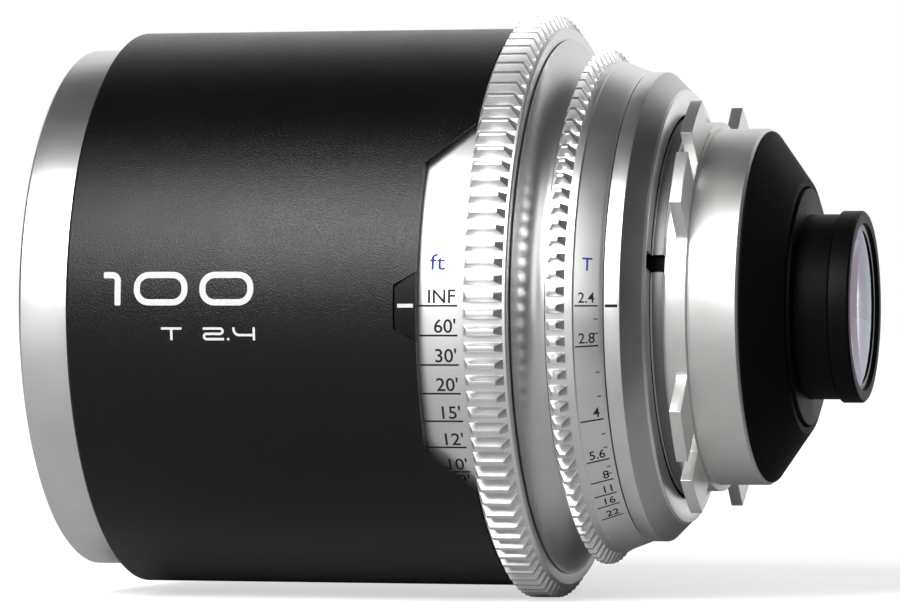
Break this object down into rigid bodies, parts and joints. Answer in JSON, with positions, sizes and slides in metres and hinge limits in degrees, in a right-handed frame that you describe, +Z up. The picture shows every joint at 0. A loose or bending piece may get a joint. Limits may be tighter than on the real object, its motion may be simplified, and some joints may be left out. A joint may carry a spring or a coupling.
{
  "type": "cinema prime lens",
  "caption": "Cinema prime lens on a four-ear bayonet mount, with geared focus and iris rings, a window over the distance scale, a clamp-on front and an iris that opens and shuts.",
  "frame": {"origin": "centre of the mount's seat, on the rear faces of the bayonet ears", "axes": "+X along the optical axis to the camera, +Z up, -Y to the operator's side with the scales"},
  "size_m": [0.1209, 0.0888, 0.0888],
  "materials": {
    "silver_anodised": "satin",
    "barrel_black": "fine-grained black anodising",
    "baffle_black": "matte",
    "mount_steel": "turned",
    "screw_steel": "plain",
    "brass": "satin",
    "coated_glass": "polished",
    "blade_black": "satin"
  },
  "bodies": {
    "housing": {"front_ring": "silver_anodised", "front_ring_screws": "screw_steel", "front_baffle": "baffle_black", "outer_barrel": "barrel_black", "index_plate": "baffle_black", "core_tube": "baffle_black", "cove_ring": "silver_anodised", "cove_ring_screws": "screw_steel", "index_ring": "silver_anodised", "index_ring_screws": "screw_steel", "mount_shim": "mount_steel", "mount_flange": "mount_steel", "mount_screws": "screw_steel", "rear_baffle": "baffle_black", "rear_cell": "baffle_black", "rear_bezel": "baffle_black", "rear_glass_outer": "coated_glass", "rear_glass_middle": "coated_glass", "rear_glass_inner": "coated_glass", "rear_spacer": "baffle_black", "rear_middle_spacer": "baffle_black", "rear_retaining_ring": "brass", "iris_base": "baffle_black", "iris_retaining_ring": "brass", "focus_stop_pin": "screw_steel", "iris_stop_pin": "screw_steel"},
    "focus": {"focus_gear_ring": "silver_anodised", "focus_scale_band": "silver_anodised", "cam_tube": "brass", "focus_ring_screws": "screw_steel"},
    "focus_group": {"focus_cell": "baffle_black", "front_glass": "coated_glass", "second_glass": "coated_glass", "third_glass": "coated_glass", "front_retaining_ring": "baffle_black", "glass_spacer": "baffle_black", "cam_rollers": "brass", "roller_screws": "screw_steel"},
    "iris": {"iris_ring": "silver_anodised", "iris_actuator": "screw_steel", "iris_drive_pin": "screw_steel"},
    "blade_1": {"iris_blade_1": "blade_black"},
    "blade_2": {"iris_blade_2": "blade_black"},
    "blade_3": {"iris_blade_3": "blade_black"},
    "blade_4": {"iris_blade_4": "blade_black"},
    "blade_5": {"iris_blade_5": "blade_black"},
    "blade_6": {"iris_blade_6": "blade_black"},
    "blade_7": {"iris_blade_7": "blade_black"},
    "blade_8": {"iris_blade_8": "blade_black"},
    "blade_9": {"iris_blade_9": "blade_black"}
  },
  "joints": [
    {"name": "focus_turn", "type": "hinge", "parent": "housing", "child": "focus", "pos_m": [0, 0, 0], "axis": [-1, 0, 0], "range_deg": [0, 180]},
    {"name": "focus_travel", "type": "slide", "parent": "housing", "child": "focus_group", "axis": [-1, 0, 0], "range_m": [0, 0.01]},
    {"name": "iris_turn", "type": "hinge", "parent": "housing", "child": "iris", "pos_m": [0, 0, 0], "axis": [-1, 0, 0], "range_deg": [0, 59]},
    {"name": "blade_1_pivot", "type": "hinge", "parent": "housing", "child": "blade_1", "pos_m": [-0.0125, 0, 0.0255], "axis": [-1, 0, 0], "range_deg": [0, 37.8]},
    {"name": "blade_2_pivot", "type": "hinge", "parent": "housing", "child": "blade_2", "pos_m": [-0.0125, 0.01639, 0.01953], "axis": [-1, 0, 0], "range_deg": [0, 37.8]},
    {"name": "blade_3_pivot", "type": "hinge", "parent": "housing", "child": "blade_3", "pos_m": [-0.0125, 0.02511, 0.00443], "axis": [-1, 0, 0], "range_deg": [0, 37.8]},
    {"name": "blade_4_pivot", "type": "hinge", "parent": "housing", "child": "blade_4", "pos_m": [-0.0125, 0.02208, -0.01275], "axis": [-1, 0, 0], "range_deg": [0, 37.8]},
    {"name": "blade_5_pivot", "type": "hinge", "parent": "housing", "child": "blade_5", "pos_m": [-0.0125, 0.00872, -0.02396], "axis": [-1, 0, 0], "range_deg": [0, 37.8]},
    {"name": "blade_6_pivot", "type": "hinge", "parent": "housing", "child": "blade_6", "pos_m": [-0.0125, -0.00872, -0.02396], "axis": [-1, 0, 0], "range_deg": [0, 37.8]},
    {"name": "blade_7_pivot", "type": "hinge", "parent": "housing", "child": "blade_7", "pos_m": [-0.0125, -0.02208, -0.01275], "axis": [-1, 0, 0], "range_deg": [0, 37.8]},
    {"name": "blade_8_pivot", "type": "hinge", "parent": "housing", "child": "blade_8", "pos_m": [-0.0125, -0.02511, 0.00443], "axis": [-1, 0, 0], "range_deg": [0, 37.8]},
    {"name": "blade_9_pivot", "type": "hinge", "parent": "housing", "child": "blade_9", "pos_m": [-0.0125, -0.01639, 0.01953], "axis": [-1, 0, 0], "range_deg": [0, 37.8]}
  ],
  "couplings": [
    {"joint": "focus_travel", "follows": "focus_turn", "m_per_rad": 0.003183},
    {"joint": "blade_1_pivot", "follows": "iris_turn", "ratio": 0.6399},
    {"joint": "blade_2_pivot", "follows": "iris_turn", "ratio": 0.6399},
    {"joint": "blade_3_pivot", "follows": "iris_turn", "ratio": 0.6399},
    {"joint": "blade_4_pivot", "follows": "iris_turn", "ratio": 0.6399},
    {"joint": "blade_5_pivot", "follows": "iris_turn", "ratio": 0.6399},
    {"joint": "blade_6_pivot", "follows": "iris_turn", "ratio": 0.6399},
    {"joint": "blade_7_pivot", "follows": "iris_turn", "ratio": 0.6399},
    {"joint": "blade_8_pivot", "follows": "iris_turn", "ratio": 0.6399},
    {"joint": "blade_9_pivot", "follows": "iris_turn", "ratio": 0.6399}
  ]
}
